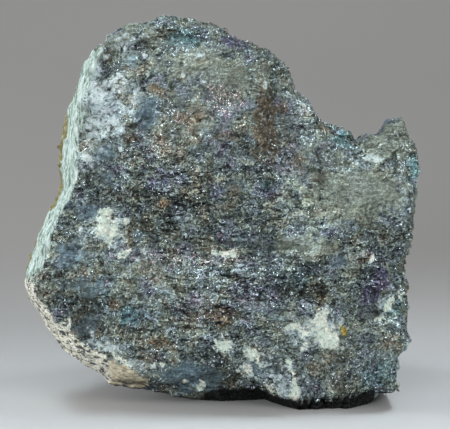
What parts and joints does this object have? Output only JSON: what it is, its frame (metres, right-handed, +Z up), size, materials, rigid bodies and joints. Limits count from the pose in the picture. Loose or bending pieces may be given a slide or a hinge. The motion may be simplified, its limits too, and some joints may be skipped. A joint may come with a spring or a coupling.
{
  "type": "peacock ore specimen",
  "caption": "Rough broken lump of tarnished bornite with a broad iridescent front face and a pale rind, standing on a small flat foot.",
  "frame": {"origin": "on the surface it stands on, under the middle of the stone's box", "axes": "+Z up, +X along the longest side, to the right as the broad broken face is looked at, which faces -Y"},
  "size_m": [0.11, 0.0552, 0.1054],
  "materials": {
    "tarnished_ore": "granular sparkling sulphide with blue, green and violet tarnish and pale rind"
  },
  "bodies": {
    "root": {"ore_chunk": "tarnished_ore"}
  },
  "joints": []
}
